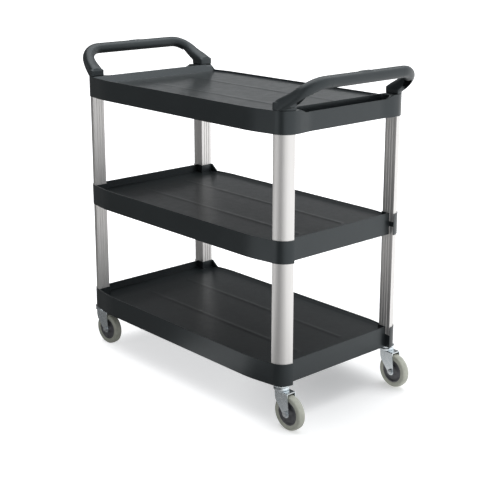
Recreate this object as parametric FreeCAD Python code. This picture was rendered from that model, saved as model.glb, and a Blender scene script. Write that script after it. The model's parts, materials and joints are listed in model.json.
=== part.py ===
import FreeCAD, Part
import math
import os

# Three-shelf food service trolley.
# X runs along the length, +Y is the open long side with the low rim, Z is up.
# The origin is on the floor under the middle of the trolley. All sizes in mm.

V = FreeCAD.Vector
Z_AXIS = V(0, 0, 1)
Y_AXIS = V(0, 1, 0)
ORIGIN = V(0, 0, 0)

# ---- driving dimensions -------------------------------------------------
OVERALL_HEIGHT = 960.0
SHELF_HALF_WIDTH = 252.5
CORNER_X = 404.0          # centre of the corner rounding and inner edge of a post
CORNER_Y = 197.0
CORNER_R = 43.0           # outside rounding of a shelf corner
BOW_START_X = 300.0       # where the long sides start to turn in to the corners
BOW_ANGLE = 8.0           # degrees left between the side and the corner rounding
LOW_END_X = 430.5         # end walls of the two lower shelves, inset from the corners
TOP_END_X = 441.0         # end walls of the top shelf, nearly flush with the corners
WALL = 4.0
DECK = 4.0
COVE_WIDE = 22.0          # sloped strip between deck and walls
COVE_HIGH = 4.0

# shelf name: underside, deck, high rim, low rim on the open side
SHELF_LEVELS = {
    "top_shelf": (807.8, 848.0, 869.5, 852.5),
    "middle_shelf": (464.5, 501.0, 527.0, 506.0),
    "bottom_shelf": (120.8, 157.5, 183.0, 162.5),
}
RIM_CLIMB = {               # where the low rim starts and ends its climb to a corner
    "top_shelf": (387.0, 407.0),
    "middle_shelf": (379.0, 401.0),
    "bottom_shelf": (379.0, 401.0),
}
PAD_Y = 84.0              # two raised strips on every deck
PAD_HALF_LENGTH = 360.0
PAD_WIDE = 30.0
PAD_HIGH = 1.2
PAD_SLOPE = 10.0          # width of the gentle slope round each strip
RIB_DEEP = 12.0           # stiffening ribs under the decks
RIB_THICK = 3.0

BLOCK_LIP = 2.0           # shelf corner left showing round a post
POST_R = 41.0
POST_WALL = 2.2
SOCKET_GAP = 0.15
SOCKET_DEEP = 24.0
TOP_SOCKET_DEEP = 40.0
GROOVE_WIDE = 3.0
GROOVE_DEEP = 0.9
GROOVE_OFFSETS = (11.0, 20.0, 29.0)

CREST_X = 403.0           # ridge at each end of the top deck
CREST_FOOT_X = 388.0
TROUGH_HALF = 180.0       # recess under each handle
TROUGH_FLOOR = 838.0
TROUGH_RIM = 859.5

BAR_X = 501.0
BAR_HALF_WIDE = 15.0
BAR_HALF_HIGH = 16.4
BAR_HALF_LENGTH = 138.0
BAR_SQUARENESS = 2.3
GRIP_PAD_LENGTH = 38.0
GRIP_PAD_WIDE = 15.0
GRIP_PAD_HIGH = 0.8
HANDLE_FOOT_X = 402.0
HANDLE_FOOT_HIGH = 21.0

WHEEL_R = 49.5
TYRE_HALF = 12.0
TYRE_INNER_R = 34.0
HUB_HALF = 13.0
CASTER_X = 421.0
CASTER_Y = 215.0
TRAIL = 33.5
# caster corner: (side in X, side in Y, swivel angle in degrees as the trolley stands)
CASTERS = {
    "front_right": (1, -1, 0.0),
    "back_right": (1, 1, -2.5),
    "front_left": (-1, -1, 4.0),
    "back_left": (-1, 1, 1.5),
}
CORNERS = {name: (spec[0], spec[1]) for name, spec in CASTERS.items()}

AXLE_R = 4.0
SLEEVE_R = 6.0
RUNNING_GAP = 0.06
KING_R = 6.0
LEG_INNER = 13.4
LEG_THICK = 2.8
CROWN_LOW = 104.5
CROWN_HIGH = 107.5
CROWN_FRONT = -10.0
CROWN_BACK = 38.0
RACE_R = 22.0
RACE_HIGH = 115.2
FLANGE_LOW = 115.8


# ---- general helpers ----------------------------------------------------
def box(x0, x1, y0, y1, z0, z1):
    return Part.makeBox(x1 - x0, y1 - y0, z1 - z0, V(x0, y0, z0))


def prism(wire, z0, z1):
    solid = Part.Face(wire).extrude(V(0, 0, z1 - z0))
    solid.translate(V(0, 0, z0))
    return solid


def polygon(points):
    return Part.makePolygon(points + [points[0]])


def mirrored(shape, sx, sy):
    if sx < 0:
        shape = shape.mirror(ORIGIN, V(1, 0, 0))
    if sy < 0:
        shape = shape.mirror(ORIGIN, V(0, 1, 0))
    return shape


def export(shape, node):
    shape.exportStep("parts/" + node + ".step")


# ---- plan outlines ------------------------------------------------------
def quarter_edges(end_x, flush, inset):
    """Edges of one quarter of a shelf outline, from the long side to the end."""
    r = CORNER_R - inset
    turn = math.radians(90.0 - BOW_ANGLE)
    side_y = SHELF_HALF_WIDTH - inset
    arc_start = V(CORNER_X + r * math.cos(turn), CORNER_Y + r * math.sin(turn), 0)
    tangent = V(math.sin(turn), -math.cos(turn), 0)
    reach = (arc_start.x - BOW_START_X) * 0.4
    bow = Part.BezierCurve()
    bow.setPoles([V(BOW_START_X, side_y, 0), V(BOW_START_X + reach, side_y, 0),
                  arc_start - tangent * reach, arc_start])
    arc_end = V(CORNER_X + r, CORNER_Y, 0)
    arc_mid = V(CORNER_X + r * math.cos(turn / 2), CORNER_Y + r * math.sin(turn / 2), 0)
    edges = [Part.makeLine(V(0, side_y, 0), V(BOW_START_X, side_y, 0)),
             bow.toShape(), Part.Arc(arc_start, arc_mid, arc_end).toShape()]
    wall_x = end_x - inset
    if flush:
        ease = Part.BezierCurve()
        ease.setPoles([arc_end, arc_end - V(0, 30, 0), V(wall_x, CORNER_Y - 40, 0),
                       V(wall_x, CORNER_Y - 70, 0)])
        edges.append(ease.toShape())
        edges.append(Part.makeLine(V(wall_x, CORNER_Y - 70, 0), V(wall_x, 0, 0)))
    else:
        step_y = CORNER_Y + inset
        step_x = CORNER_X + math.sqrt(max(r * r - inset * inset, 0.0))
        if inset > 0:
            edges[2] = arc_to(arc_start, r, step_x, step_y)
        edges.append(Part.makeLine(V(step_x, step_y, 0), V(wall_x, step_y, 0)))
        edges.append(Part.makeLine(V(wall_x, step_y, 0), V(wall_x, 0, 0)))
    return edges


def arc_to(start, r, x, y):
    a0 = math.atan2(start.y - CORNER_Y, start.x - CORNER_X)
    a1 = math.atan2(y - CORNER_Y, x - CORNER_X)
    mid = (a0 + a1) / 2
    middle = V(CORNER_X + r * math.cos(mid), CORNER_Y + r * math.sin(mid), 0)
    return Part.Arc(start, middle, V(x, y, 0)).toShape()


def shelf_outline(end_x, flush, inset=0.0):
    quarter = Part.Wire(Part.__sortEdges__(quarter_edges(end_x, flush, inset)))
    edges = []
    for sx in (1, -1):
        for sy in (1, -1):
            edges.extend(mirrored(quarter, sx, sy).Edges)
    return Part.Wire(Part.__sortEdges__(edges))


def sector_outline(x0, y0, r, lip=0.0):
    """Post shape: two flats on the inside, a quarter round on the outside."""
    xe = CORNER_X + math.sqrt(r * r - lip * lip)
    ye = CORNER_Y + math.sqrt(r * r - lip * lip)
    half = math.radians(45)
    mid = V(CORNER_X + r * math.cos(half), CORNER_Y + r * math.sin(half), 0)
    return Part.Wire([Part.makeLine(V(x0, y0, 0), V(xe, y0, 0)),
                      Part.Arc(V(xe, y0, 0), mid, V(x0, ye, 0)).toShape(),
                      Part.makeLine(V(x0, ye, 0), V(x0, y0, 0))])


# ---- shelves ------------------------------------------------------------
def corner_block(z0, z1):
    lip = BLOCK_LIP
    return prism(sector_outline(CORNER_X - lip, CORNER_Y - lip, CORNER_R, lip), z0, z1)


def post_socket(z0, z1):
    gap = SOCKET_GAP
    return prism(sector_outline(CORNER_X - gap, CORNER_Y - gap, POST_R + gap, gap), z0, z1)


def cove_frame(half_x, half_y, z):
    """Sloped strip that runs round the edge of a deck."""
    low = polygon([V(sx * (half_x - COVE_WIDE), sy * (half_y - COVE_WIDE), z)
                   for sx, sy in ((1, 1), (-1, 1), (-1, -1), (1, -1))])
    high = polygon([V(sx * half_x, sy * half_y, z + COVE_HIGH)
                    for sx, sy in ((1, 1), (-1, 1), (-1, -1), (1, -1))])
    return Part.makeLoft([low, high], True, True)


def deck_pads(z):
    """Two low strips along a deck, with gently sloping edges."""
    half_wide = PAD_WIDE / 2
    pads = []
    for sy in (1, -1):
        outlines = []
        for inset, level in ((0.0, z), (PAD_SLOPE, z + PAD_HIGH)):
            x = PAD_HALF_LENGTH - inset
            y = half_wide - inset
            outlines.append(polygon([V(sign_x * x, sy * PAD_Y + sign_y * y, level)
                                     for sign_x, sign_y in ((1, 1), (-1, 1), (-1, -1), (1, -1))]))
        pads.append(Part.makeLoft(outlines, True, True))
    return pads


def deck_ribs(deck_under, half_x, half_y):
    z0 = deck_under - RIB_DEEP
    t = RIB_THICK / 2
    ribs = [box(-half_x, half_x, sy * PAD_Y - t, sy * PAD_Y + t, z0, deck_under + 1)
            for sy in (1, -1)]
    ribs += [box(x - t, x + t, -half_y, half_y, z0, deck_under + 1) for x in (-210, 0, 210)]
    return ribs


def rim_cut(node):
    """Material taken off the open long side to leave its low rim."""
    high, low = SHELF_LEVELS[node][2:]
    foot_x, head_x = RIM_CLIMB[node]
    y_in = CORNER_Y + 20
    profile = polygon([V(-foot_x, y_in, low), V(foot_x, y_in, low),
                       V(head_x, y_in, high + 1), V(-head_x, y_in, high + 1)])
    return Part.Face(profile).extrude(V(0, SHELF_HALF_WIDTH + 1 - y_in, 0))


def low_shelf(node):
    under, deck, high = SHELF_LEVELS[node][:3]
    body = prism(shelf_outline(LOW_END_X, False), under, high)
    hollow = prism(shelf_outline(LOW_END_X, False, WALL), deck, high + 1)
    in_x = LOW_END_X - WALL
    in_y = SHELF_HALF_WIDTH - WALL
    inside = hollow.copy()
    keep = [mirrored(corner_block(under, high), sx, sy) for sx, sy in CORNERS.values()]
    hollow = hollow.cut(keep[0].fuse(keep[1:]))
    body = body.cut(hollow)
    cove = box(-in_x, in_x, -in_y, in_y, deck - 1, deck + COVE_HIGH)
    cove = cove.cut(cove_frame(in_x, in_y, deck)).common(inside)
    below = prism(shelf_outline(LOW_END_X, False, WALL), under - 1, deck - DECK)
    below = below.cut(keep[0].fuse(keep[1:]))
    body = body.cut(below)
    inner = prism(shelf_outline(LOW_END_X, False, WALL / 2), under, high)
    ribs = [rib.common(inner) for rib in deck_ribs(deck - DECK, in_x + 1, in_y + 1)]
    body = body.fuse([cove] + deck_pads(deck) + ribs)
    return body.cut(rim_cut(node))


def finish_low_shelf(node):
    body = low_shelf(node)
    under, deck, high = SHELF_LEVELS[node][:3]
    cuts = [mirrored(post_socket(high - SOCKET_DEEP, high + 1), sx, sy)
            for sx, sy in CORNERS.values()]
    if node == "middle_shelf":
        cuts += [mirrored(post_socket(under - 1, under + SOCKET_DEEP), sx, sy)
                 for sx, sy in CORNERS.values()]
    else:
        cuts += [Part.makeCylinder(KING_R + SOCKET_GAP, 31.0,
                                   V(sx * CASTER_X, sy * CASTER_Y, under - 1))
                 for sx, sy in CORNERS.values()]
    body = body.cut(cuts[0].fuse(cuts[1:]))
    return body.removeSplitter()


def top_shelf():
    under, deck, high = SHELF_LEVELS["top_shelf"][:3]
    body = prism(shelf_outline(TOP_END_X, True), under, high)
    inner_y = SHELF_HALF_WIDTH - WALL

    # deck recess, with sloping ends that climb to the two crests
    recess = polygon([V(-CREST_FOOT_X, 0, deck), V(CREST_FOOT_X, 0, deck),
                      V(CREST_X - 1.5, 0, high + 0.01), V(CREST_X - 1.5, 0, high + 5),
                      V(1.5 - CREST_X, 0, high + 5), V(1.5 - CREST_X, 0, high + 0.01)])
    recess = Part.Face(recess).extrude(V(0, 2 * inner_y, 0))
    recess.translate(V(0, -inner_y, 0))
    recess = recess.common(prism(shelf_outline(TOP_END_X, True, WALL), deck, high + 5))
    body = body.cut(recess)

    # hand recess at each end, and the lower edge of the end wall beside it
    for sx in (1, -1):
        x0 = CREST_X + 1.5
        x1 = TOP_END_X - WALL
        trough = box(x0, x1, -TROUGH_HALF, TROUGH_HALF, TROUGH_FLOOR, high + 1)
        upright = [e for e in trough.Edges if abs(e.tangentAt(e.FirstParameter).z) > 0.9]
        trough = trough.makeFillet(12.0, upright)
        sweep = 24.0
        dip = polygon([V(x0 + 6, -TROUGH_HALF - 4, high + 1), V(x0 + 6, TROUGH_HALF + 4, high + 1),
                       V(x0 + 6, TROUGH_HALF - sweep, TROUGH_RIM),
                       V(x0 + 6, sweep - TROUGH_HALF, TROUGH_RIM)])
        dip = Part.Face(dip).extrude(V(60, 0, 0))
        body = body.cut([mirrored(trough, sx, 1), mirrored(dip, sx, 1)])

    # hollow underneath
    below = prism(shelf_outline(TOP_END_X, True, WALL), under - 1, deck - DECK)
    blocks = [mirrored(corner_block(under, high), sx, sy) for sx, sy in CORNERS.values()]
    for sx in (1, -1):
        floor = box(CREST_FOOT_X, TOP_END_X, -TROUGH_HALF - 4, TROUGH_HALF + 4,
                    TROUGH_FLOOR - 3.5, high)
        blocks.append(mirrored(floor, sx, 1))
    body = body.cut(below.cut(blocks[0].fuse(blocks[1:])))
    inner = prism(shelf_outline(TOP_END_X, True, WALL / 2), under, high)
    ribs = [rib.common(inner) for rib in deck_ribs(deck - DECK, CREST_FOOT_X + 1, inner_y + 1)]
    body = body.fuse(deck_pads(deck) + ribs)
    body = body.cut(rim_cut("top_shelf"))
    sockets = [mirrored(post_socket(under - 1, under + TOP_SOCKET_DEEP), sx, sy)
               for sx, sy in CORNERS.values()]
    return body.cut(sockets[0].fuse(sockets[1:])).removeSplitter()


# ---- posts --------------------------------------------------------------
def post(z0, z1):
    """Hollow aluminium extrusion with fine grooves down its two flats."""
    tube = prism(sector_outline(CORNER_X, CORNER_Y, POST_R), z0, z1)
    w = POST_WALL
    cavity = prism(sector_outline(CORNER_X + w, CORNER_Y + w, POST_R - w, w), z0 - 1, z1 + 1)
    tube = tube.cut(cavity)
    grooves = []
    for offset in GROOVE_OFFSETS:
        a = offset - GROOVE_WIDE / 2
        b = offset + GROOVE_WIDE / 2
        grooves.append(box(CORNER_X + a, CORNER_X + b, CORNER_Y - 1, CORNER_Y + GROOVE_DEEP,
                           z0 - 1, z1 + 1))
        grooves.append(box(CORNER_X - 1, CORNER_X + GROOVE_DEEP, CORNER_Y + a, CORNER_Y + b,
                           z0 - 1, z1 + 1))
    return tube.cut(grooves)


# ---- handles ------------------------------------------------------------
# leg stations: centre, direction, half size across, half size sideways, squareness
LEG_STATIONS = (
    (V(394.0, 217.5, 866.5), V(1.6, -0.05, 1.0), 18.0, 21.5, 3.6),
    (V(414.0, 217.0, 879.0), V(1.6, -0.08, 1.0), 18.0, 21.5, 3.4),
    (V(430.5, 214.5, 889.0), V(1.6, -0.13, 1.0), 17.8, 20.6, 3.1),
    (V(447.0, 211.0, 898.5), V(1.4, -0.17, 1.0), 17.3, 19.4, 2.8),
    (V(460.5, 207.5, 907.5), V(1.15, -0.25, 1.0), 17.0, 18.4, 2.5),
    (V(471.5, 203.2, 916.5), V(1.0, -0.5, 1.0), 16.8, 17.8, 2.4),
    (V(481.0, 196.5, 925.0), V(0.85, -0.9, 0.9), 16.6, 17.2, 2.3),
    (V(489.0, 185.5, 933.0), V(0.75, -1.4, 0.7), 16.2, 16.8, 2.3),
    (V(496.0, 170.0, 939.5), V(0.45, -1.5, 0.4), 15.6, 16.5, 2.3),
    (V(500.0, 155.0, 942.3), V(0.15, -1.0, 0.1), 15.1, 16.4, 2.3),
)
BAR_STATIONS_Y = (BAR_HALF_LENGTH, 95.0, 45.0, 0.0)
# hollow under a leg, about 6 mm inside its skin, seen from above (X, Y) and the side (X, Z)
CHANNEL_PLAN = ((430.0, 229.0), (447.0, 224.5), (462.0, 219.5), (476.5, 213.0), (488.5, 203.5),
                (498.0, 190.5), (480.0, 181.0), (472.7, 189.0), (466.0, 192.7), (457.8, 195.5),
                (445.5, 197.7), (430.0, 200.0))
CHANNEL_SIDE = ((428.0, 845.0), (428.0, 897.0), (447.0, 908.5), (462.0, 918.0), (480.0, 929.0),
                (502.0, 933.0), (502.0, 845.0))


def section(centre, direction, half_a, half_b, power, count=28):
    t = V(direction).normalize()
    a = (V(1, 0, 0) - t * t.x).normalize()
    b = t.cross(a)
    points = []
    for i in range(count):
        angle = 2 * math.pi * i / count
        c = math.cos(angle)
        s = math.sin(angle)
        u = half_a * math.copysign(abs(c) ** (2 / power), c)
        v = half_b * math.copysign(abs(s) ** (2 / power), s)
        points.append(centre + a * u + b * v)
    curve = Part.BSplineCurve()
    curve.interpolate(points, PeriodicFlag=True)
    return Part.Wire(curve.toShape())


def leg_channel():
    """Hollow under a leg, open downwards between the foot and the bar."""
    plan = prism(polygon([V(x, y, 0) for x, y in CHANNEL_PLAN]), 840.0, OVERALL_HEIGHT)
    side = Part.Face(polygon([V(x, 170.0, z) for x, z in CHANNEL_SIDE]))
    return plan.common(side.extrude(V(0, 80.0, 0)))


def reversed_station(station):
    """The same station on the other leg, walked from the bar down to the foot."""
    centre, direction, half_a, half_b, power = station
    return (V(centre.x, -centre.y, centre.z), V(-direction.x, direction.y, -direction.z),
            half_a, half_b, power)


def handle():
    """One D-shaped grip: a foot on each corner, two leaning legs and a level bar."""
    bar_z = OVERALL_HEIGHT - GRIP_PAD_HIGH - BAR_HALF_HIGH
    base_z = SHELF_LEVELS["top_shelf"][2]
    down = V(0, -1, 0)
    half = list(LEG_STATIONS)
    half += [(V(BAR_X, y, bar_z), down, BAR_HALF_WIDE, BAR_HALF_HIGH, BAR_SQUARENESS)
             for y in BAR_STATIONS_Y]
    stations = half + [reversed_station(station) for station in reversed(half[:-1])]
    grip = Part.makeLoft([section(*station) for station in stations], True, False)

    foot = box(HANDLE_FOOT_X, CORNER_X + CORNER_R, CORNER_Y - 2, CORNER_Y + CORNER_R,
               base_z, base_z + HANDLE_FOOT_HIGH)
    outer = [e for e in foot.Edges if abs(e.tangentAt(e.FirstParameter).z) > 0.9
             and e.CenterOfMass.x > CORNER_X + 20 and e.CenterOfMass.y > CORNER_Y + 20]
    foot = foot.makeFillet(CORNER_R - 0.5, outer)
    top = [e for e in foot.Edges if min(v.Z for v in e.Vertexes) > base_z + HANDLE_FOOT_HIGH / 2]
    foot = foot.makeFillet(4.0, top)
    pad = box(BAR_X - GRIP_PAD_WIDE / 2, BAR_X + GRIP_PAD_WIDE / 2, -GRIP_PAD_LENGTH / 2,
              GRIP_PAD_LENGTH / 2, bar_z, OVERALL_HEIGHT)
    below = box(HANDLE_FOOT_X - 60, BAR_X + 60, -260, 260, base_z - 40, base_z)
    inner = box(HANDLE_FOOT_X - 60, HANDLE_FOOT_X + 2, -260, 260, base_z - 40, base_z + 60)
    grip = grip.cut([below, inner])
    grip = grip.fuse([foot, mirrored(foot, 1, -1), pad]).removeSplitter()
    kept_foot = box(HANDLE_FOOT_X - 2, CORNER_X + CORNER_R + 3, 150.0, 260.0, 830.0,
                    base_z + HANDLE_FOOT_HIGH + 1)
    channel = leg_channel().cut(kept_foot)
    return grip.cut([channel, mirrored(channel, 1, -1)])


# ---- casters, drawn with the swivel axis on Z and the wheel trailing to +X ----
def ring(points):
    """Solid of revolution about Z from (radius, height) points."""
    return Part.Face(polygon([V(r, 0, z) for r, z in points])).revolve(ORIGIN, Z_AXIS, 360)


def about_axle(points):
    """Solid of revolution about the axle from (radius, half-width position) points."""
    solid = Part.Face(polygon([V(r, w, 0) for r, w in points])).revolve(ORIGIN, Y_AXIS, 360)
    solid.translate(V(TRAIL, 0, WHEEL_R))
    return solid


def axle_cylinder(r, y0, y1):
    return Part.makeCylinder(r, y1 - y0, V(TRAIL, y0, WHEEL_R), Y_AXIS)


def hexagon_prism(across_flats, y0, y1):
    r = across_flats / math.sqrt(3)
    points = [V(TRAIL + r * math.cos(math.radians(60 * k)), y0,
                WHEEL_R + r * math.sin(math.radians(60 * k))) for k in range(6)]
    return Part.Face(polygon(points)).extrude(V(0, y1 - y0, 0))


def caster_stem():
    """Flange, threaded stem above it and king pin with a riveted head below it."""
    top = SHELF_LEVELS["bottom_shelf"][0]
    return ring([(0, 100.0), (9.0, 100.0), (10.0, 101.0), (10.0, 103.5), (KING_R, 104.0),
                 (KING_R, FLANGE_LOW), (20.0, FLANGE_LOW), (22.0, 117.5), (22.0, top),
                 (KING_R, top), (KING_R, top + 27.0), (KING_R - 1.5, top + 29.0),
                 (0, top + 29.0)])


def fork():
    """Bent plate: a long crown with the ball race on top and two tapered legs."""
    bore = KING_R + RUNNING_GAP
    race = ring([(bore, CROWN_LOW), (RACE_R - 4.0, CROWN_LOW), (RACE_R - 4.0, CROWN_HIGH - 1.0),
                 (RACE_R, CROWN_HIGH + 1.0), (RACE_R, RACE_HIGH - 2.5),
                 (RACE_R - 2.0, RACE_HIGH), (RACE_R - 5.0, RACE_HIGH),
                 (RACE_R - 8.0, CROWN_HIGH + 2.0), (bore, CROWN_HIGH + 2.0)])
    half = LEG_INNER + LEG_THICK
    crown = box(CROWN_FRONT, CROWN_BACK, -half, half, CROWN_LOW, CROWN_HIGH)
    bends = [e for e in crown.Edges if abs(e.CenterOfMass.y) > half - 0.1
             and e.CenterOfMass.z > CROWN_HIGH - 0.1]
    crown = crown.makeFillet(LEG_THICK - 0.1, bends)
    crown = crown.cut(Part.makeCylinder(bore, 20, V(0, 0, CROWN_LOW - 5)))
    boss_r = 11.5
    legs = []
    for side in (1, -1):
        y0 = LEG_INNER if side > 0 else -half
        profile = polygon([V(CROWN_FRONT, y0, CROWN_LOW + 0.1), V(CROWN_BACK, y0, CROWN_LOW + 0.1),
                           V(TRAIL + boss_r - 0.3, y0, WHEEL_R + 3.0), V(TRAIL, y0, WHEEL_R),
                           V(TRAIL - boss_r + 1.2, y0, WHEEL_R - 4.5),
                           V(CROWN_FRONT + 4.0, y0, 79.0), V(CROWN_FRONT + 1.5, y0, 88.0)])
        leg = Part.Face(profile).extrude(V(0, LEG_THICK, 0))
        boss = axle_cylinder(boss_r, y0, y0 + LEG_THICK)
        legs.append(leg.fuse(boss).cut(axle_cylinder(AXLE_R + 0.1, y0 - 1, y0 + LEG_THICK + 1)))
    return race.fuse([crown] + legs).removeSplitter()


def axle_bolt():
    outer = LEG_INNER + LEG_THICK
    head = hexagon_prism(13.0, outer, outer + 5.0)
    return axle_cylinder(AXLE_R, -outer - 7.5, outer + 1.0).fuse(head)


def axle_nut():
    outer = LEG_INNER + LEG_THICK
    nut = hexagon_prism(13.0, -outer - 6.0, -outer)
    return nut.cut(axle_cylinder(AXLE_R, -outer - 8.0, -outer + 1.0))


def axle_sleeve():
    length = LEG_INNER
    return axle_cylinder(SLEEVE_R, -length, length).cut(
        axle_cylinder(AXLE_R + 0.1, -length - 1, length + 1))


def wheel_core():
    """Rigid wheel centre: hub, dished web and rim."""
    bore = SLEEVE_R + RUNNING_GAP
    rim = TYRE_INNER_R
    half = [(bore, 0), (rim, 0), (rim, TYRE_HALF - 2.0), (rim - 2.5, TYRE_HALF - 1.8),
            (rim - 6.0, 6.0), (16.0, 5.0), (12.0, 11.0), (11.0, HUB_HALF), (bore, HUB_HALF)]
    other = [(r, -w) for r, w in half]
    return about_axle(half).fuse(about_axle(other)).removeSplitter()


def tyre():
    rim = TYRE_INNER_R
    side = [(rim, TYRE_HALF - 2.0), (rim + 2.0, TYRE_HALF - 0.8), (WHEEL_R - 8.0, TYRE_HALF),
            (WHEEL_R - 3.5, TYRE_HALF - 0.6), (WHEEL_R - 1.2, TYRE_HALF - 3.0),
            (WHEEL_R - 0.3, TYRE_HALF - 6.0), (WHEEL_R, 3.0)]
    return about_axle(side + [(r, -w) for r, w in reversed(side)])


CASTER_PIECES = {
    "caster_stem": caster_stem,
    "fork": fork,
    "axle_bolt": axle_bolt,
    "axle_nut": axle_nut,
    "axle_sleeve": axle_sleeve,
    "wheel_core": wheel_core,
    "tyre": tyre,
}


# ---- build --------------------------------------------------------------
os.makedirs("parts", exist_ok=True)

export(top_shelf(), "top_shelf")
for node in ("middle_shelf", "bottom_shelf"):
    export(finish_low_shelf(node), node)

grip = handle()
export(grip, "handle_right")
export(mirrored(grip, -1, 1), "handle_left")

middle_under, middle_deck, middle_high, middle_low = SHELF_LEVELS["middle_shelf"]
bottom_high = SHELF_LEVELS["bottom_shelf"][2]
top_under = SHELF_LEVELS["top_shelf"][0]
upper_post = post(middle_high - SOCKET_DEEP, top_under + TOP_SOCKET_DEEP)
lower_post = post(bottom_high - SOCKET_DEEP, middle_under + SOCKET_DEEP)
for corner, (sx, sy) in CORNERS.items():
    export(mirrored(upper_post, sx, sy), "upper_post_" + corner)
    export(mirrored(lower_post, sx, sy), "lower_post_" + corner)

for piece, make in CASTER_PIECES.items():
    shape = make()
    for corner, (sx, sy, swivel) in CASTERS.items():
        placed = shape.copy()
        placed.rotate(ORIGIN, Z_AXIS, swivel)
        placed.translate(V(sx * CASTER_X, sy * CASTER_Y, 0))
        export(placed, piece + "_" + corner)
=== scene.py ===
import json
import math

import bmesh
import bpy
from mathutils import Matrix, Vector

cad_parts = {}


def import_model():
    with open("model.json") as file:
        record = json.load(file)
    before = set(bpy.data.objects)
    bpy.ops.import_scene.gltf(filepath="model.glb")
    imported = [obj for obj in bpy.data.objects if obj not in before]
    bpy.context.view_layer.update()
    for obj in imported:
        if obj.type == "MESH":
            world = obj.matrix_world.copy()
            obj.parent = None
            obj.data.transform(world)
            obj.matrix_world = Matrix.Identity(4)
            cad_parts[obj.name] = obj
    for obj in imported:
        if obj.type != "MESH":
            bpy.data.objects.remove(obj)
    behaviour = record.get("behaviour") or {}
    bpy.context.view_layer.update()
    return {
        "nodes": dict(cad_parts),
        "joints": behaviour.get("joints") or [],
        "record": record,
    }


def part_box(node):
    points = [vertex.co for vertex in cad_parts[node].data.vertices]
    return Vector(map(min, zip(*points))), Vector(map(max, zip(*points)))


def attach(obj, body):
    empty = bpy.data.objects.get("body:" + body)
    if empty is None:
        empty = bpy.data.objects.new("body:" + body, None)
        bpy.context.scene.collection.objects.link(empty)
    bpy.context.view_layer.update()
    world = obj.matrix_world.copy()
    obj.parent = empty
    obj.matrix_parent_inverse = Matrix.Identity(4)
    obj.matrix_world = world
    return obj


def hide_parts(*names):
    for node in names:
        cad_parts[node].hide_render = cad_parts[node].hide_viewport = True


# Looks of the three-shelf food service trolley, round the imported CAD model. Blender works in
# metres. The trolley's sizes below are in millimetres and MM turns them into metres; the studio's
# are in metres.

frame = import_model()
CORNERS = ("front_right", "back_right", "front_left", "back_left")
SHELVES = ("top_shelf", "middle_shelf", "bottom_shelf")
SLOT_OF = {entry["node"]: entry["material_slot"] for entry in frame["record"]["subparts"]}
BODY_OF = {node: body for body, nodes in frame["record"]["behaviour"]["bodies"].items()
           for node in nodes}
MM = 0.001

# copies of CAD nodes: welding, the angle under which a face counts as flat, rounding of edges
WELD = 0.002
FLAT_ANGLE = 0.4
SHELF_ROUNDING = 1.2
FORK_ROUNDING = 0.8
STEM_ROUNDING = 0.5
EVEN_WEIGHT = 60

# posts; the heel is the corner between the two flats, the tips are where the flats meet the arc
POST_R = 41.0
POST_WALL = 2.2
POST_HEEL_R = 0.8
POST_TIP_R = 1.2
GROOVE_WIDE = 3.0
GROOVE_DEEP = 0.9
GROOVE_LIP_R = 0.4
GROOVE_FLOOR_R = 0.3
GROOVE_OFFSETS = (11.0, 20.0, 29.0)
ARC_STEPS = 40

# half outlines of the wheel's parts: radius, distance from the middle plane, corner rounding
TYRE_HALF_OUTLINE = [
    (34.0, 10.0, 0.4), (36.0, 11.2, 1.0), (40.5, 11.8, 3.0), (42.3, 11.85, 0.3),
    (42.7, 11.25, 0.2), (43.3, 11.2, 0.2), (43.7, 11.75, 0.3), (46.4, 11.2, 3.0),
    (48.5, 8.8, 2.5), (49.5, 3.5, 6.0)]
CORE_HALF_OUTLINE = [
    (6.06, 13.0, 0.3), (10.8, 13.0, 1.2), (11.8, 11.0, 1.5), (15.5, 5.3, 3.0),
    (27.8, 6.1, 3.0), (31.3, 10.2, 1.0), (33.98, 10.0, 0.4)]
TURN_STEPS = 96

# axle bolts and nuts; the bolt's tip narrows over the last stretch past the fork
FORK_OUTSIDE = 16.2
HEX_FLATS = 13.0
HEAD_HIGH = 5.0
NUT_HIGH = 6.0
NUT_BORE_R = 4.02
NUT_MOUTH_R = 4.6
NUT_MOUTH_DEEP = 0.5
BOLT_R = 4.0
BOLT_TIP_R = 3.3
BOLT_TIP_START = 6.8
BOLT_TIP_END = 7.5
# turned-off corners of a hexagon: depths of the rings that follow them, the radius lost at the
# face, the radius gained for each millimetre of depth, and a depth that is clear of them
CHAMFER_DEPTHS = (0.0, 0.17, 0.32, 0.5, 0.74)
CHAMFER_LOSS = 0.3
CHAMFER_SLOPE = 1.75
CLEAR_DEPTH = 1.0

# handles, at the +X end; squareness 2 is an ellipse and more is squarer
GRIP_STEPS = 64
EASE_STEPS = 5
BAR_X = 501.0
BAR_HALF_WIDE = 15.0
BAR_HALF_HIGH = 16.4
BAR_Z = 942.8
BAR_SQUARENESS = 2.3
BAR_STATIONS_Y = (138.0, 95.0, 45.0, 0.0)
GRIP_PAD_LENGTH = 38.0
GRIP_PAD_WIDE = 15.0
GRIP_PAD_HIGH = 0.8
FOOT_X = 402.0
FOOT_OUTER_X = 447.0
FOOT_OUTER_Y = 240.0
FOOT_R = 42.5
FOOT_PAST_ARC = 2.5
FOOT_Z = 869.5
FOOT_HIGH = 21.0
FOOT_EDGE_R = 4.0
LEG_INSET = 2.0
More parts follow.
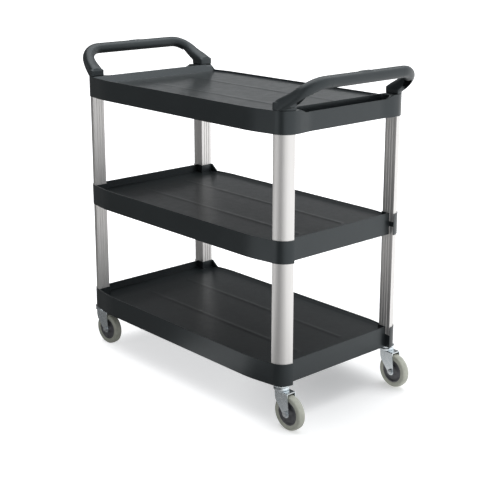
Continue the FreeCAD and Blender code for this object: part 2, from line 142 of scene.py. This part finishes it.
# centre, direction, half size across, half size sideways, squareness
LEG_STATIONS = (
    (394.0, 217.5, 866.5, 1.6, -0.05, 1.0, 18.0, 21.5, 3.6),
    (414.0, 217.0, 879.0, 1.6, -0.08, 1.0, 18.0, 21.5, 3.4),
    (430.5, 214.5, 889.0, 1.6, -0.13, 1.0, 17.8, 20.6, 3.1),
    (447.0, 211.0, 898.5, 1.4, -0.17, 1.0, 17.3, 19.4, 2.8),
    (460.5, 207.5, 907.5, 1.15, -0.25, 1.0, 17.0, 18.4, 2.5),
    (471.5, 203.2, 916.5, 1.0, -0.5, 1.0, 16.8, 17.8, 2.4),
    (481.0, 196.5, 925.0, 0.85, -0.9, 0.9, 16.6, 17.2, 2.3),
    (489.0, 185.5, 933.0, 0.75, -1.4, 0.7, 16.2, 16.8, 2.3),
    (496.0, 170.0, 939.5, 0.45, -1.5, 0.4, 15.6, 16.5, 2.3),
    (500.0, 155.0, 942.3, 0.15, -1.0, 0.1, 15.1, 16.4, 2.3))
# hollow under a leg: pairs of opposite points seen from above with the height it starts from,
# and its roof seen from the side
CHANNEL_SECTIONS = (
    ((430.0, 229.0), (430.0, 200.0), 891.5), ((450.0, 223.5), (450.0, 196.9), 891.5),
    ((450.1, 223.5), (450.1, 196.9), 850.0), ((462.0, 219.5), (457.8, 195.5), 850.0),
    ((476.5, 213.0), (466.0, 192.7), 850.0), ((488.5, 203.5), (472.7, 189.0), 850.0),
    ((498.0, 190.5), (480.0, 181.0), 850.0))
CHANNEL_ROOF = ((428.0, 897.0), (447.0, 908.5), (462.0, 918.0), (480.0, 929.0), (502.0, 933.0))
PARTING_HALF = 0.9
PARTING_DEEP = 0.35
# remeshed skin that makes legs and feet one form, and how much it is smoothed
SKIN_CELL = 1.4
SKIN_SMOOTHING = 0.5
SKIN_ROUNDS = 6

# studio: a glow has a direction, the cosines between which it rises, and a strength
BRIGHT_SIDE = (0.8, 0.6, 0.0)
WALL_TINT = (0.97, 0.985, 1.0, 1.0)
WALL_BASE = 0.13
WALL_GLOWS = ((BRIGHT_SIDE, -0.2, 0.85, 1.25), ((-0.2, -0.98, 0.0), 0.7, 0.97, 0.7))
HORIZON_GLOW = ((-0.74, 0.67, 0.0), 0.3, 0.8, 1.35)
# lower and upper edge of the horizon's glow: heights and the share of it before and after
HORIZON_EDGES = ((0.02, 0.10, 0.0, 1.0), (0.11, 0.20, 1.0, 0.0))
FLOOR_REACH = 60.0
FLOOR_WHITE = 0.9
FLOOR_TINT = (0.985, 0.99, 1.0, 1.0)
# the camera sees the floor lit by painted fill light, an emission of the first value on the dim
# side and the second on the bright side that lightens its shadow, and of 1 far away; the trolley
# gets the glow, which goes by side too, and a patch
FLOOR_PAINTED_FILL = (0.60, 0.26)
PAINTED_FILL_SIDES = (0.0, 0.35)
PAINTED_FILL_DISTANCES = (1.2, 3.5)
FLOOR_GLOW = (0.20, 1.6)
GLOW_SIDES = (-0.2, 1.2)
FLOOR_PATCH = ((-0.1, -0.99, 0.0), 0.92, 0.985, 1.05)
CAMERA_PLACE = (2.392, -2.122, 1.338)
CAMERA_YAW = 48.29
CAMERA_PITCH = 13.99
CAMERA_SHIFT = -0.10
CAMERA_FAR = 200.0
SENSOR_MM = 36.0
LENS_MM = 81.9525
LAMP_PLACE = (-0.2, 0.3, 3.2)
LAMP_TARGET = (0.0, 0.0, 0.7)
LAMP_SIZE = (4.0, 3.6)
LAMP_WATTS = 110.0


# ---- procedural materials -----------------------------------------------
def add_node(tree, kind, links=None, **settings):
    """A shader node. Each of links is another node's output or a plain value for a socket."""
    made = tree.nodes.new(kind)
    for name, value in settings.items():
        setattr(made, name, value)
    for socket, value in (links or {}).items():
        if isinstance(value, bpy.types.NodeSocket):
            tree.links.new(value, made.inputs[socket])
        else:
            made.inputs[socket].default_value = value
    return made


class Look:
    """One Principled material, with short calls for the nodes that give it detail. Noise and cell
    scales are repeats in a metre, except over a stretched place, whose own scale counts."""

    def __init__(self, name, roughness, metallic=0.0, **sockets):
        self.material = bpy.data.materials.new(name)
        self.material.use_nodes = True
        self.tree = self.material.node_tree
        self.shader = self.tree.nodes["Principled BSDF"]
        self.set(Metallic=metallic, Roughness=roughness, **sockets)
        self.place = self.node("ShaderNodeTexCoord").outputs["Object"]
        self.normal = None

    def set(self, **sockets):
        for name, value in sockets.items():
            self.shader.inputs[name.replace("_", " ")].default_value = value

    def node(self, kind, links=None, **settings):
        return add_node(self.tree, kind, links, **settings)

    def stretched(self, scale):
        return self.node("ShaderNodeMapping", {
            "Vector": self.place, "Scale": scale}).outputs["Vector"]

    def noise(self, scale, detail=2.0, roughness=0.5, place=None):
        return self.node("ShaderNodeTexNoise", {
            "Vector": place or self.place, "Scale": scale, "Detail": detail,
            "Roughness": roughness}).outputs["Fac"]

    def cells(self, scale):
        return self.node("ShaderNodeTexVoronoi", {"Vector": self.place, "Scale": scale},
                         feature="SMOOTH_F1").outputs["Distance"]

    def between(self, amount, low, high, from_low=0.3, from_high=0.7):
        return self.node("ShaderNodeMapRange", {
            "Value": amount, "From Min": from_low, "From Max": from_high,
            "To Min": low, "To Max": high}).outputs["Result"]

    def tint(self, amount, one, other):
        """Mix of two colours, each a socket or three values, by an amount from 0 to 1."""
        mixed = self.node("ShaderNodeMix", data_type="RGBA")
        self.tree.links.new(amount, mixed.inputs["Factor"])
        for socket, colour in ((6, one), (7, other)):
            if isinstance(colour, bpy.types.NodeSocket):
                self.tree.links.new(colour, mixed.inputs[socket])
            else:
                mixed.inputs[socket].default_value = (*colour, 1.0)
        return mixed.outputs[2]

    def colour(self, socket):
        self.tree.links.new(socket, self.shader.inputs["Base Color"])

    def rough(self, socket):
        self.tree.links.new(socket, self.shader.inputs["Roughness"])

    def bump(self, height, strength, depth):
        """Bump on top of any earlier bump."""
        links = {"Height": height, "Strength": strength, "Distance": depth}
        if self.normal is not None:
            links["Normal"] = self.normal
        self.normal = self.node("ShaderNodeBump", links).outputs["Normal"]
        self.tree.links.new(self.normal, self.shader.inputs["Normal"])


def moulded_plastic(name, dark, light, grain, depth, wave, roughness):
    """Structural foam plastic: clouded colour, pebbled skin, faint sink waves, uneven gloss."""
    look = Look(name, roughness, IOR=1.46, Specular_Tint=(0.86, 0.95, 1.0, 1.0))
    clouds = look.noise(9.0, 4.0, 0.6)
    specks = look.noise(420.0, 2.0)
    look.colour(look.tint(look.between(specks, 0.0, 0.35),
                          look.tint(look.between(clouds, 0.0, 1.0), dark, light), light))
    handled = look.noise(38.0, 5.0, 0.65)
    look.rough(look.between(handled, roughness - 0.03, roughness + 0.05, 0.25, 0.75))
    look.bump(look.noise(7.0, 1.0), 0.35, wave)
    look.bump(look.cells(grain), 0.5, depth)
    return look.material


def shelf_plastic():
    return moulded_plastic("shelf_plastic_grained", dark=(0.0095, 0.0118, 0.0126),
                           light=(0.0130, 0.0160, 0.0170), grain=1100.0, depth=0.05 * MM,
                           wave=0.9 * MM, roughness=0.31)


def handle_plastic():
    return moulded_plastic("handle_plastic_grained", dark=(0.0110, 0.0135, 0.0143),
                           light=(0.0150, 0.0184, 0.0194), grain=1500.0, depth=0.08 * MM,
                           wave=0.3 * MM, roughness=0.42)


def anodised_aluminium():
    """Satin extrusion: fine die lines up the length and faint bands."""
    look = Look("anodised_aluminium", 0.4, 1.0)
    lines = look.noise(1.0, 3.0, 0.6, look.stretched((1400.0, 1400.0, 5.0)))
    bands = look.noise(1.0, 2.0, 0.5, look.stretched((160.0, 160.0, 1.2)))
    look.colour(look.tint(look.between(bands, 0.0, 1.0), (0.60, 0.59, 0.58), (0.64, 0.63, 0.62)))
    look.rough(look.between(lines, 0.40, 0.52))
    look.bump(lines, 0.25, 0.05 * MM)
    return look.material


def bright_zinc():
    """Zinc plate on pressed steel: cloudy patches, uneven polish."""
    look = Look("bright_zinc", 0.2, 1.0)
    patches = look.noise(60.0, 4.0, 0.6)
    look.colour(look.tint(look.between(patches, 0.0, 1.0), (0.62, 0.67, 0.70), (0.76, 0.80, 0.82)))
    look.rough(look.between(look.noise(170.0, 3.0), 0.16, 0.3))
    look.bump(look.noise(240.0, 3.0), 0.2, 0.12 * MM)
    return look.material


def plated_steel():
    """Plated fasteners: small stains and a fine drawn texture."""
    look = Look("plated_steel", 0.3, 1.0)
    stains = look.noise(300.0, 3.0)
    look.colour(look.tint(look.between(stains, 0.0, 1.0), (0.48, 0.50, 0.52), (0.68, 0.70, 0.72)))
    look.rough(look.between(look.noise(500.0, 2.0), 0.24, 0.4))
    look.bump(look.noise(900.0, 2.0), 0.2, 0.05 * MM)
    return look.material


def wheel_plastic():
    """Dark wheel centre: clouded colour and a fine pebbled skin."""
    look = Look("wheel_plastic", 0.45, IOR=1.5)
    clouds = look.noise(90.0, 3.0)
    look.colour(look.tint(look.between(clouds, 0.0, 1.0),
                          (0.060, 0.060, 0.066), (0.10, 0.10, 0.11)))
    look.rough(look.between(look.noise(200.0, 3.0), 0.38, 0.55))
    look.bump(look.cells(900.0), 0.4, 0.06 * MM)
    return look.material


def grey_rubber():
    """Non-marking rubber: chalky bloom, fine pores and a little floor dust."""
    look = Look("grey_rubber", 0.6, IOR=1.5)
    bloom = look.noise(70.0, 4.0, 0.6)
    dust = look.noise(420.0, 4.0, 0.7)
    rubber = look.tint(look.between(bloom, 0.0, 1.0), (0.33, 0.34, 0.29), (0.44, 0.45, 0.39))
    look.colour(look.tint(look.between(dust, 0.0, 0.5, 0.55, 0.8), rubber, (0.26, 0.26, 0.24)))
    look.rough(look.between(bloom, 0.52, 0.7))
    look.bump(look.noise(1300.0, 3.0), 0.35, 0.08 * MM)
    return look.material


LOOKS = {
    "shelf_plastic": shelf_plastic(),
    "handle_plastic": handle_plastic(),
    "post_aluminium": anodised_aluminium(),
    "zinc_plate": bright_zinc(),
    "steel_fastener": plated_steel(),
    "wheel_plastic": wheel_plastic(),
    "tyre_rubber": grey_rubber(),
}


# ---- mesh helpers ---------------------------------------------------------
def linked(name, data):
    """A new object in the scene."""
    made = bpy.data.objects.new(name, data)
    bpy.context.scene.collection.objects.link(made)
    return made


def mesh_from(bm, name):
    """bm as a new mesh. bm is freed."""
    mesh = bpy.data.meshes.new(name)
    bm.to_mesh(mesh)
    bm.free()
    return mesh


def everything(bm):
    return bm.verts[:] + bm.edges[:] + bm.faces[:]


def coloured(mesh, slot):
    """Gives a mesh one material, that of a slot."""
    mesh.materials.clear()
    mesh.materials.append(LOOKS[slot])


def piece(name, mesh, node):
    """A new piece that stands for one CAD node, with that node's body and finish."""
    made = linked(name, mesh)
    coloured(mesh, SLOT_OF[node])
    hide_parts(node)
    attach(made, BODY_OF[node])
    return made


def applied(made):
    """Bakes the modifiers of a piece into its mesh."""
    evaluated = made.evaluated_get(bpy.context.evaluated_depsgraph_get())
    mesh = bpy.data.meshes.new_from_object(evaluated)
    made.modifiers.clear()
    made.data = mesh
    return made


def clean_copy(node):
    """The CAD node's mesh, welded and with its flat faces whole again."""
    bm = bmesh.new()
    bm.from_mesh(frame["nodes"][node].data)
    bmesh.ops.remove_doubles(bm, verts=bm.verts, dist=WELD * MM)
    bmesh.ops.dissolve_limit(bm, angle_limit=math.radians(FLAT_ANGLE), verts=bm.verts,
                             edges=bm.edges)
    return mesh_from(bm, node + "_soft")


def softened(node, radius, segments=3, limit=28.0):
    """A copy of a CAD node with every edge sharper than limit degrees rounded, as moulding or
    pressing leaves it."""
    made = piece(node + "_soft", clean_copy(node), node)
    for face in made.data.polygons:
        face.use_smooth = True
    bevel = made.modifiers.new("round", "BEVEL")
    bevel.width = radius * MM
    bevel.segments = segments
    bevel.limit_method = "ANGLE"
    bevel.angle_limit = math.radians(limit)
    bevel.use_clamp_overlap = True
    bevel.harden_normals = True
    bevel.miter_outer = "MITER_ARC"
    even = made.modifiers.new("even", "WEIGHTED_NORMAL")
    even.weight = EVEN_WEIGHT
    return applied(made)


def rounded(outline, steps=4):
    """A closed (u, v, radius) outline in millimetres with each corner turned into a curve."""
    points = []
    for index, (u, v, radius) in enumerate(outline):
        here = Vector((u, v))
        back = Vector(outline[index - 1][:2]) - here
        ahead = Vector(outline[(index + 1) % len(outline)][:2]) - here
        turn = math.pi - back.angle(ahead)
        if radius == 0 or turn < math.radians(2):
            points.append(here)
            continue
        reach = min(radius * math.tan(turn / 2), 0.48 * back.length, 0.48 * ahead.length)
        first = here + back.normalized() * reach
        last = here + ahead.normalized() * reach
        for step in range(steps + 1):
            t = step / steps
            points.append(first * (1 - t) ** 2 + here * 2 * t * (1 - t) + last * t ** 2)
    return points


def shaded(mesh, limit):
    """Smooth shading, except over edges sharper than limit degrees."""
    mesh.shade_smooth()
    mesh.set_sharp_from_angle(angle=math.radians(limit))


def finished(name, bm, node, limit=40.0):
    """A piece made from bm, shaded smooth except over edges sharper than limit."""
    bmesh.ops.recalc_face_normals(bm, faces=bm.faces)
    mesh = mesh_from(bm, name)
    shaded(mesh, limit)
    return piece(name, mesh, node)


def walls(bm, rings):
    """Quads between neighbouring rings of vertices, each ring closed on itself."""
    for low, high in zip(rings, rings[1:]):
        for i in range(len(low)):
            bm.faces.new((low[i - 1], low[i], high[i], high[i - 1]))


def capped(bm, rings):
    """Walls through the rings, with a face over the first and the last."""
    walls(bm, rings)
    bm.faces.new(rings[0])
    bm.faces.new(rings[-1])


# ---- posts -------------------------------------------------------------------
def quarter(radius, lip):
    """Points of a quarter circle that stops lip short of both flats."""
    start = math.asin(lip / radius)
    sweep = math.pi / 2 - 2 * start
    angles = [start + sweep * k / ARC_STEPS for k in range(ARC_STEPS + 1)]
    return [(radius * math.cos(a), radius * math.sin(a), 0) for a in angles]


def post_outlines():
    """Outside and inside of the extrusion's section, measured from its inner corner."""
    half = GROOVE_WIDE / 2
    grooves = []
    for offset in GROOVE_OFFSETS:
        grooves += [(offset - half, 0, GROOVE_LIP_R),
                    (offset - half, GROOVE_DEEP, GROOVE_FLOOR_R),
                    (offset + half, GROOVE_DEEP, GROOVE_FLOOR_R),
                    (offset + half, 0, GROOVE_LIP_R)]
    curve = quarter(POST_R, 0)
    curve[0] = (*curve[0][:2], POST_TIP_R)
    curve[-1] = (*curve[-1][:2], POST_TIP_R)
    other_flat = [(v, u, r) for u, v, r in reversed(grooves)]
    outside = [(0, 0, POST_HEEL_R)] + grooves + curve + other_flat
    inside = [(POST_WALL, POST_WALL, POST_HEEL_R)] + quarter(POST_R - POST_WALL, POST_WALL)
    return rounded(outside), rounded(inside)


def post(node):
    """One hollow extrusion: three grooves down each flat, a quarter round outside."""
    low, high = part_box(node)
    sx = math.copysign(1, low.x + high.x)
    sy = math.copysign(1, low.y + high.y)
    corner = Vector((min(abs(low.x), abs(high.x)) * sx, min(abs(low.y), abs(high.y)) * sy, 0))
    bm = bmesh.new()
    ends = {low.z: [], high.z: []}
    for outline in post_outlines():
        rings = []
        for z, edges in ends.items():
            ring = [bm.verts.new(corner + Vector((sx * p.x * MM, sy * p.y * MM, z)))
                    for p in outline]
            edges += [bm.edges.new((ring[i - 1], ring[i])) for i in range(len(ring))]
            rings.append(ring)
        walls(bm, rings)
    for edges in ends.values():
        bmesh.ops.triangle_fill(bm, edges=edges, use_beauty=True)
    return finished(node + "_extruded", bm, node)


# ---- wheels and axles ----------------------------------------------------------
def mirrored(half):
    """A (radius, along, rounding) half outline completed with its mirror image."""
    return half + [(r, -w, rounding) for r, w, rounding in reversed(half)]


def hexagon(depth):
    """Radius at each angle of a hexagon whose corners are turned off close to its face."""
    def radius(angle):
        flat = HEX_FLATS / 2 / math.cos(angle % (math.pi / 3) - math.pi / 6)
        return min(flat, HEX_FLATS / 2 - CHAMFER_LOSS + CHAMFER_SLOPE * depth)
    return radius


def turned(name, node, sections, closed):
    """A piece turned about its wheel's axle from (radius, along) sections in millimetres.
    A radius may be a function of the angle. Closed sections go round a bore."""
    corner = next(c for c in CORNERS if node.endswith(c))
    joint = next(j for j in frame["joints"] if j["name"] == "wheel_spin_" + corner)
    centre = Vector(joint["pos_m"])
    axle = Vector(joint["axis"]).normalized()
    up = Vector((0, 0, 1))
    side = axle.cross(up)
    bm = bmesh.new()
    rings = []
    for radius, along in sections:
        ring = []
        for k in range(TURN_STEPS):
            angle = 2 * math.pi * k / TURN_STEPS
            r = radius(angle) if callable(radius) else radius
            out = side * math.cos(angle) + up * math.sin(angle)
            ring.append(bm.verts.new(centre + (out * r + axle * along) * MM))
        rings.append(ring)
    if closed:
        walls(bm, rings + rings[:1])
    else:
        capped(bm, rings)
    return finished(name, bm, node)


def wheel(corner):
    """Tyre and centre of one wheel."""
    turned("tread_" + corner, "tyre_" + corner, rounded(mirrored(TYRE_HALF_OUTLINE)), True)
    turned("centre_" + corner, "wheel_core_" + corner, rounded(mirrored(CORE_HALF_OUTLINE)), True)


def axle(corner):
    """Bolt with its hexagon head on one side of the fork, nut on the other."""
    out = FORK_OUTSIDE
    shank = [(BOLT_TIP_R, -out - BOLT_TIP_END), (BOLT_R, -out - BOLT_TIP_START), (BOLT_R, out)]
    head = [(hexagon(d), out + HEAD_HIGH - d) for d in reversed(CHAMFER_DEPTHS)]
    bolt = shank + [(hexagon(CLEAR_DEPTH), out)] + head
    turned("bolt_" + corner, "axle_bolt_" + corner, bolt, False)
    outer = [(hexagon(d), -out - NUT_HIGH + d) for d in CHAMFER_DEPTHS]
    inner = [(hexagon(d), -out - d) for d in reversed(CHAMFER_DEPTHS)]
    bore = [(NUT_BORE_R, -out), (NUT_BORE_R, -out - NUT_HIGH + NUT_MOUTH_DEEP),
            (NUT_MOUTH_R, -out - NUT_HIGH)]
    turned("nut_" + corner, "axle_nut_" + corner, outer + inner + bore, True)


# ---- handles -----------------------------------------------------------------
def eased(rows, steps):
    """Rows of numbers with more rows between them, on a smooth curve through them all."""
    ends = [rows[0]] + rows + [rows[-1]]
    out = []
    for before, start, end, after in zip(ends, ends[1:], ends[2:], ends[3:]):
        for k in range(steps):
            t = k / steps
            out.append([0.5 * (2 * q + (r - p) * t + (2 * p - 5 * q + 4 * r - s) * t ** 2
                               + (3 * q - p - 3 * r + s) * t ** 3)
                        for p, q, r, s in zip(before, start, end, after)])
    return out + [rows[-1]]


def ring_across(bm, station):
    """Rounded square ring round a station's centre, square to its direction."""
    centre, ahead = Vector(station[0:3]), Vector(station[3:6]).normalized()
    half_a, half_b, power = station[6:9]
    a = (Vector((1, 0, 0)) - ahead * ahead.x).normalized()
    b = ahead.cross(a)
    ring = []
    for k in range(GRIP_STEPS):
        angle = 2 * math.pi * k / GRIP_STEPS
        u = half_a * math.copysign(abs(math.cos(angle)) ** (2 / power), math.cos(angle))
        v = half_b * math.copysign(abs(math.sin(angle)) ** (2 / power), math.sin(angle))
        ring.append(bm.verts.new(centre + a * u + b * v))
    return ring


def grip_sweep():
    """Both legs and the bar as one swept form, cut off level and upright at the feet."""
    half = [list(station) for station in LEG_STATIONS]
    half += [[BAR_X, y, BAR_Z, 0, -1, 0, BAR_HALF_WIDE, BAR_HALF_HIGH, BAR_SQUARENESS]
             for y in BAR_STATIONS_Y]
    other = [[x, -y, z, -dx, dy, -dz, *rest] for x, y, z, dx, dy, dz, *rest in reversed(half[:-1])]
    bm = bmesh.new()
    capped(bm, [ring_across(bm, station) for station in eased(half + other, EASE_STEPS)])
    inner_end = FOOT_X + LEG_INSET
    for place, inward in (((0, 0, FOOT_Z), (0, 0, 1)), ((inner_end, 0, 0), (1, 0, 0))):
        cut = bmesh.ops.bisect_plane(bm, geom=everything(bm), plane_co=place, plane_no=inward,
                                     clear_inner=True)
        edges = [e for e in cut["geom_cut"] if isinstance(e, bmesh.types.BMEdge)]
        bmesh.ops.holes_fill(bm, edges=edges)
    return bm


def roof(x):
    """Height of the channel's roof under a leg."""
    for (x0, z0), (x1, z1) in zip(CHANNEL_ROOF, CHANNEL_ROOF[1:]):
        if x <= x1:
            return z0 + (z1 - z0) * (x - x0) / (x1 - x0)
    return CHANNEL_ROOF[-1][1]


def leg_channels():
    """The hollow under each leg, as two solids to cut away."""
    bm = bmesh.new()
    for side in (1, -1):
        rings = []
        for (x0, y0), (x1, y1), low in CHANNEL_SECTIONS:
            corners = ((x0, y0, low), (x1, y1, low), (x1, y1, roof(x1)), (x0, y0, roof(x0)))
            rings.append([bm.verts.new((x, side * y, z)) for x, y, z in corners])
        capped(bm, rings)
    return bm


def feet_and_pad():
    """The two feet, rounded like the shelf corners below them, and the raised pad on the bar."""
    bm = bmesh.new()
    arc = [math.pi / 2 * k / ARC_STEPS for k in range(ARC_STEPS + 1)]
    middle_x, middle_y = FOOT_OUTER_X - FOOT_R, FOOT_OUTER_Y - FOOT_R
    foot = [(FOOT_X, middle_y - FOOT_PAST_ARC), (FOOT_OUTER_X, middle_y - FOOT_PAST_ARC)]
    foot += [(middle_x + FOOT_R * math.cos(a), middle_y + FOOT_R * math.sin(a)) for a in arc]
    foot += [(FOOT_X, FOOT_OUTER_Y)]
    for side in (1, -1):
        capped(bm, [[bm.verts.new((x, side * y, z)) for x, y in foot]
                    for z in (FOOT_Z, FOOT_Z + FOOT_HIGH)])
    rims = [e for e in bm.edges if min(v.co.z for v in e.verts) > FOOT_Z + 1]
    bmesh.ops.bevel(bm, geom=rims, offset=FOOT_EDGE_R, segments=4, profile=0.5, affect="EDGES")
    wide, long = GRIP_PAD_WIDE / 2, GRIP_PAD_LENGTH / 2
    top = BAR_Z + BAR_HALF_HIGH + GRIP_PAD_HIGH
    pad = ((-wide, -long), (wide, -long), (wide, long), (-wide, long))
    capped(bm, [[bm.verts.new((BAR_X + x, y, z)) for x, y in pad] for z in (BAR_Z, top)])
    return bm


def part_of(bm, end, name):
    """bm, in millimetres at the +X end, as a mesh in metres at the given end."""
    for v in bm.verts:
        v.co = Vector((v.co.x * end, v.co.y, v.co.z)) * MM
    bmesh.ops.recalc_face_normals(bm, faces=bm.faces)
    return mesh_from(bm, name)


def skinned(made):
    """One even skin over forms that overlap, smoothed so that they flow into each other."""
    skin = made.modifiers.new("skin", "REMESH")
    skin.mode = "VOXEL"
    skin.voxel_size = SKIN_CELL * MM
    relaxed = made.modifiers.new("relaxed", "SMOOTH")
    relaxed.factor = SKIN_SMOOTHING
    relaxed.iterations = SKIN_ROUNDS
    applied(made)


def hollowed(made, mesh):
    """Cuts a mesh away from a piece."""
    cutter = linked("channels", mesh)
    hollow = made.modifiers.new("hollow", "BOOLEAN")
    hollow.operation = "DIFFERENCE"
    hollow.solver = "EXACT"
    hollow.object = cutter
    applied(made)
    bpy.data.objects.remove(cutter)


def parting_groove(bm, y):
    """A fine V groove round the bar: three cuts, with the middle one pushed in."""
    for offset in (-PARTING_HALF, PARTING_HALF, 0.0):
        cut = bmesh.ops.bisect_plane(bm, geom=everything(bm), dist=1e-6,
                                     plane_co=(0, (y + offset) * MM, 0), plane_no=(0, 1, 0))
    bm.normal_update()
    groove = [v for v in cut["geom_cut"] if isinstance(v, bmesh.types.BMVert)]
    normals = [v.normal.copy() for v in groove]
    for v, normal in zip(groove, normals):
        v.co -= normal * PARTING_DEEP * MM


def handle(node, end):
    """Grip whose legs flow into their feet, with a fine parting groove at each end of the bar."""
    made = piece(node + "_moulded", part_of(grip_sweep(), end, node + "_moulded"), node)
    bm = bmesh.new()
    bm.from_mesh(made.data)
    bm.from_mesh(part_of(feet_and_pad(), end, "feet"))
    bm.to_mesh(made.data)
    bm.free()
    skinned(made)
    hollowed(made, part_of(leg_channels(), end, "channels"))
    bm = bmesh.new()
    bm.from_mesh(made.data)
    for side in (1, -1):
        parting_groove(bm, side * BAR_STATIONS_Y[0])
    bm.to_mesh(made.data)
    bm.free()
    coloured(made.data, SLOT_OF[node])
    shaded(made.data, 45.0)
    return made


# ---- pieces --------------------------------------------------------------------
for node in frame["nodes"]:
    if node in SHELVES:
        softened(node, SHELF_ROUNDING)
    elif node.startswith("handle"):
        handle(node, math.copysign(1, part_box(node)[0].x))
    elif "_post_" in node:
        post(node)
    elif node.startswith("fork"):
        softened(node, FORK_ROUNDING, 2)
    elif node.startswith("caster_stem"):
        softened(node, STEM_ROUNDING, 2)
for corner in CORNERS:
    wheel(corner)
    axle(corner)

for node, made in frame["nodes"].items():
    if not made.hide_render:
        coloured(made.data, SLOT_OF[node])


# ---- studio -----------------------------------------------------------------
def smooth_range(tree, value, start, end, low, high):
    """Value that eases from low to high as the given one goes from start to end."""
    return add_node(tree, "ShaderNodeMapRange", {
        "Value": value, "From Min": start, "From Max": end, "To Min": low, "To Max": high},
        interpolation_type="SMOOTHSTEP").outputs["Result"]


def towards(tree, way, aim):
    """How far a direction goes along aim: its dot product with it."""
    return add_node(tree, "ShaderNodeVectorMath", {0: way, 1: aim},
                    operation="DOT_PRODUCT").outputs["Value"]


def glow_towards(tree, way, aim, start, end, amount):
    """A glow that rises from nothing to amount as a direction turns towards aim."""
    return smooth_range(tree, towards(tree, way, Vector(aim).normalized()), start, end, 0.0, amount)


def calculated(tree, operation, one, other):
    return add_node(tree, "ShaderNodeMath", {0: one, 1: other}, operation=operation).outputs[0]


def camera_sees(tree, other, shown):
    """Shader that is shown to the camera and the other one to everything else."""
    ray = add_node(tree, "ShaderNodeLightPath")
    mixed = add_node(tree, "ShaderNodeMixShader", {
        "Fac": ray.outputs["Is Camera Ray"], 1: other, 2: shown})
    return mixed.outputs["Shader"]


def floor():
    """White floor. Straight to the camera it glows with painted fill light, more on the dim side,
    so that it keeps only a light, soft shadow; what it sends to the trolley is the dimmer glow of a
    studio floor, strongest on the bright side."""
    bm = bmesh.new()
    bmesh.ops.create_grid(bm, x_segments=2, y_segments=2, size=FLOOR_REACH)
    made = linked("floor", mesh_from(bm, "floor"))
    look = Look("floor_white", 1.0, Specular_IOR_Level=0.0)
    tree = look.tree
    distance = look.node("ShaderNodeVectorMath", {0: look.place}, operation="LENGTH")
    side = towards(tree, look.place, BRIGHT_SIDE)
    # painted fill light: emission seen only by the camera, stronger on the dim side, lightens the
    # floor's shadow
    painted_fill_near = smooth_range(tree, side, *PAINTED_FILL_SIDES, *FLOOR_PAINTED_FILL)
    painted_fill = look.between(distance.outputs["Value"], painted_fill_near, 1.0, *PAINTED_FILL_DISTANCES)
    look.set(Base_Color=(FLOOR_WHITE, FLOOR_WHITE, FLOOR_WHITE, 1.0), Emission_Color=FLOOR_TINT)
    tree.links.new(painted_fill, look.shader.inputs["Emission Strength"])
    way = look.node("ShaderNodeVectorMath", {0: look.place}, operation="NORMALIZE").outputs[0]
    strength = calculated(tree, "ADD", smooth_range(tree, side, *GLOW_SIDES, *FLOOR_GLOW),
                          glow_towards(tree, way, *FLOOR_PATCH))
    glow = look.node("ShaderNodeEmission", {"Strength": strength})
    seen = camera_sees(tree, glow.outputs["Emission"], look.shader.outputs["BSDF"])
    tree.links.new(seen, tree.nodes["Material Output"].inputs["Surface"])
    made.data.materials.append(look.material)


def world():
    """Studio walls: bright to the right and behind, dim to the left, a low light band behind the
    left end. Straight to the camera they are plain white."""
    made = bpy.data.worlds.new("studio")
    bpy.context.scene.world = made
    made.use_nodes = True
    tree = made.node_tree
    way = add_node(tree, "ShaderNodeTexCoord").outputs["Generated"]
    height = add_node(tree, "ShaderNodeSeparateXYZ", {0: way}).outputs["Z"]
    total = WALL_BASE
    for wall in WALL_GLOWS:
        total = calculated(tree, "ADD", total, glow_towards(tree, way, *wall))
    band = glow_towards(tree, way, *HORIZON_GLOW)
    for edge in HORIZON_EDGES:
        band = calculated(tree, "MULTIPLY", band, smooth_range(tree, height, *edge))
    total = calculated(tree, "ADD", total, band)
    background = tree.nodes["Background"]
    background.inputs["Color"].default_value = WALL_TINT
    tree.links.new(total, background.inputs["Strength"])
    white = add_node(tree, "ShaderNodeBackground", {"Color": (1.0, 1.0, 1.0, 1.0), "Strength": 1.0})
    seen = camera_sees(tree, background.outputs["Background"], white.outputs["Background"])
    tree.links.new(seen, tree.nodes["World Output"].inputs["Surface"])


def camera():
    data = bpy.data.cameras.new("camera")
    data.sensor_width = SENSOR_MM
    data.lens = LENS_MM
    data.shift_y = CAMERA_SHIFT
    data.clip_end = CAMERA_FAR
    made = linked("camera", data)
    made.location = CAMERA_PLACE
    tilt = math.pi / 2 - math.radians(CAMERA_PITCH)
    made.rotation_euler = (tilt, 0.0, math.radians(CAMERA_YAW))
    bpy.context.scene.camera = made


def overhead_lamp():
    data = bpy.data.lights.new("overhead", "AREA")
    data.shape = "RECTANGLE"
    data.size, data.size_y = LAMP_SIZE
    data.energy = LAMP_WATTS
    made = linked("overhead", data)
    made.location = LAMP_PLACE
    aim = Vector(LAMP_TARGET) - Vector(LAMP_PLACE)
    made.rotation_euler = aim.to_track_quat("-Z", "Y").to_euler()


floor()
world()
camera()
overhead_lamp()
bpy.context.scene.view_settings.view_transform = "Standard"
